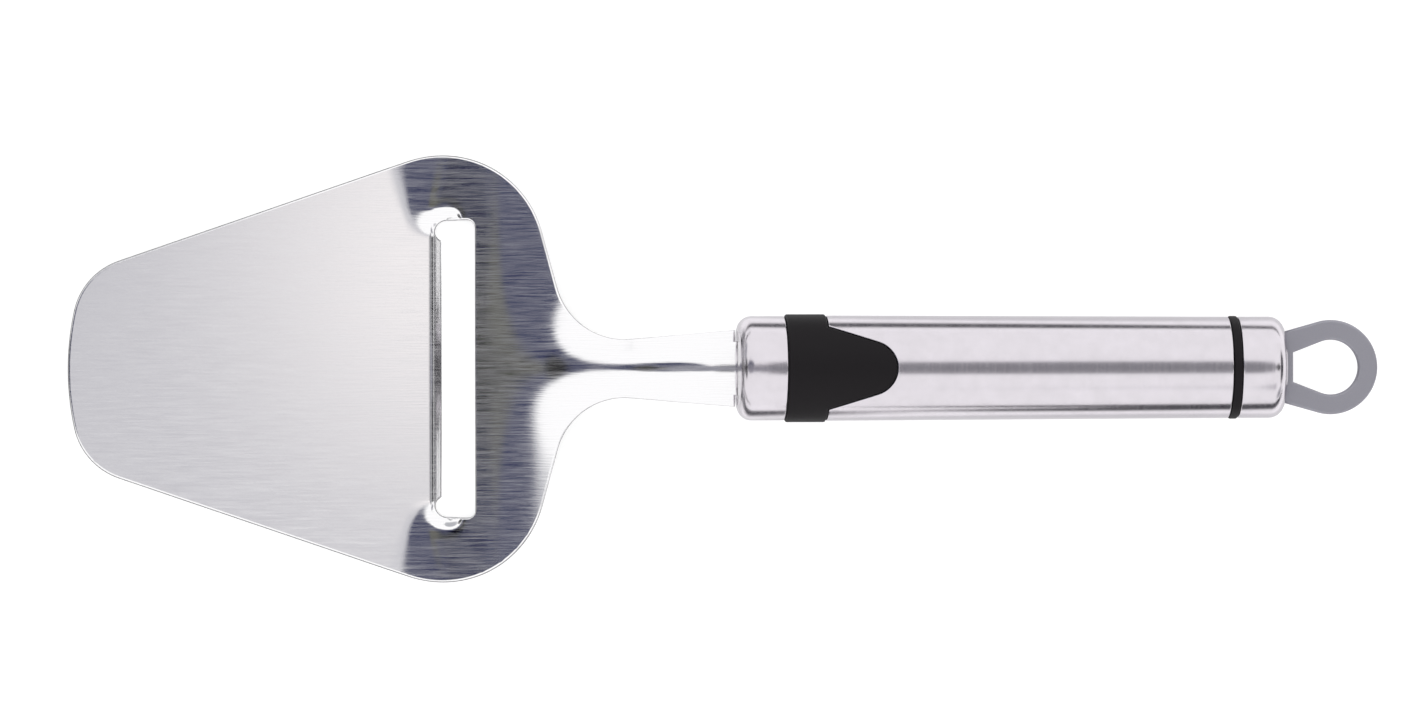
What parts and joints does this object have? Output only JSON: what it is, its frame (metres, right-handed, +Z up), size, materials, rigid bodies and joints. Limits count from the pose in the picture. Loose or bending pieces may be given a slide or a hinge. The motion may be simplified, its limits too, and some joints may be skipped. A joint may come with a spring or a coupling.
{
  "type": "cheese slicer",
  "caption": "Cheese slicer: a pressed steel blade with a cutting slot and a cranked neck, on a round hollow steel handle with a thumb collar and a hanging loop.",
  "frame": {"origin": "under the middle of the part, on the surface where it lies on its cutting edge and its rear cap", "axes": "+X from the blade's tip to the hanging loop, +Y across the blade, +Z up"},
  "size_m": [0.2498, 0.0816, 0.0282],
  "materials": {
    "blade_steel": "brushed along its length",
    "handle_steel": "satin, turned round its axis",
    "loop_steel": "matt blasted",
    "black_plastic": "matt moulded",
    "core_plastic": "plain moulded",
    "pin_steel": "drawn"
  },
  "bodies": {
    "root": {"slicer_plate": "blade_steel", "front_cap": "handle_steel", "front_core": "core_plastic", "tang_pin": "pin_steel", "thumb_collar": "black_plastic", "handle_tube": "handle_steel", "seal_ring": "black_plastic", "rear_core": "core_plastic", "rear_cap": "handle_steel", "hanging_loop": "loop_steel", "loop_pin": "pin_steel"}
  },
  "joints": []
}
